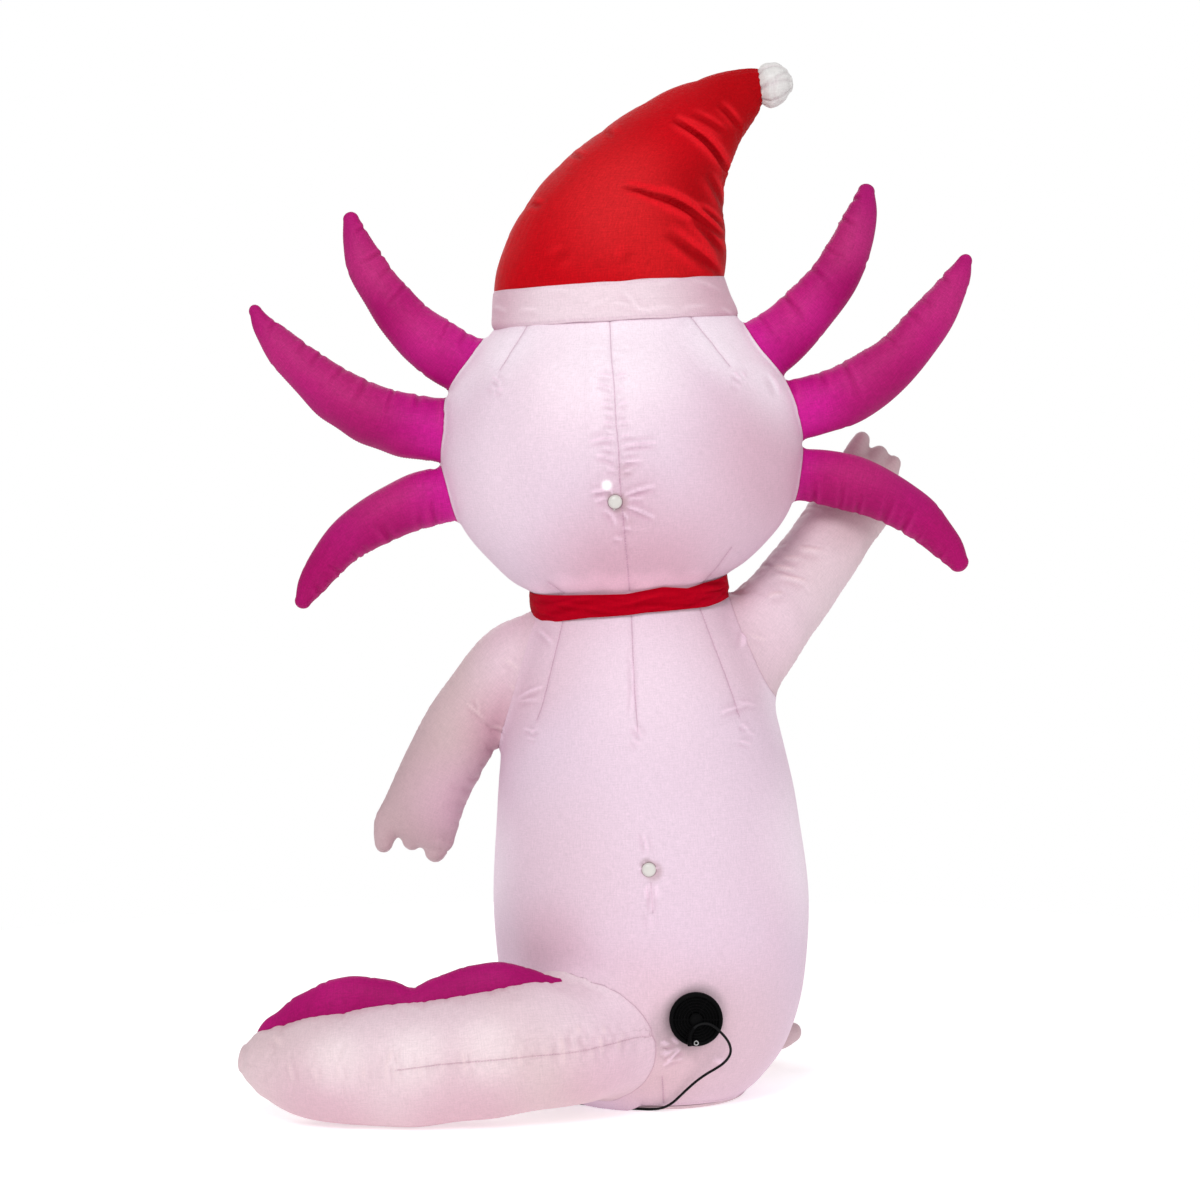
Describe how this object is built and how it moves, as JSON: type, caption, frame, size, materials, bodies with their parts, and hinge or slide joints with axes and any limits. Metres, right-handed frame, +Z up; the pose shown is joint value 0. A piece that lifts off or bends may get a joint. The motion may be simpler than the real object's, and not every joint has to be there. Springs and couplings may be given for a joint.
{
  "type": "axolotl yard inflatable",
  "caption": "Blown-up cloth yard figure of a waving axolotl in a red hat, with gills, curled tail, fan inlet and cord.",
  "frame": {"origin": "middle of the flat base on the ground", "axes": "+Z up, +Y the way the figure faces, +X towards the figure's right, where the raised arm is"},
  "size_m": [1.2878, 0.6638, 1.8298],
  "materials": {
    "body_cloth": "thin coated polyester, satin, lit from inside",
    "head_cloth": "thin coated polyester, satin, lit from inside",
    "limb_cloth": "thin coated polyester, satin, greyer pink",
    "gill_cloth": "thin coated polyester, satin, deep magenta",
    "hat_cloth": "thin coated polyester, satin, red",
    "collar_cloth": "gathered satin strip, red",
    "band_cloth": "thin coated polyester, satin, pale pink",
    "pompom_cloth": "thin coated polyester, white, gathered",
    "base_cloth": "heavier woven polyester, matt",
    "black_plastic": "fine moulded grain",
    "white_plastic": "moulded, glossy",
    "cord_cover": "smooth flexible cord cover",
    "blade_metal": "plated strip"
  },
  "bodies": {
    "root": {"base_panel": "base_cloth", "body": "body_cloth", "head": "head_cloth", "hat_band": "band_cloth", "hat_crown": "hat_cloth", "hat_pompom": "pompom_cloth", "collar": "collar_cloth", "arm_left": "limb_cloth", "arm_right": "limb_cloth", "gill_left_top": "gill_cloth", "gill_left_middle": "gill_cloth", "gill_left_bottom": "gill_cloth", "gill_right_top": "gill_cloth", "gill_right_middle": "gill_cloth", "gill_right_bottom": "gill_cloth", "tail": "limb_cloth", "tail_fin": "gill_cloth", "foot_right": "limb_cloth", "foot_left": "limb_cloth", "blower_housing": "black_plastic", "blower_grille": "black_plastic", "lamp_button_head": "white_plastic", "lamp_button_body": "white_plastic", "cord_gland": "black_plastic", "cord": "cord_cover", "cord_coil": "cord_cover", "cord_lead": "cord_cover", "adapter_case": "black_plastic", "adapter_blade_left": "blade_metal", "adapter_blade_right": "blade_metal"}
  },
  "joints": []
}
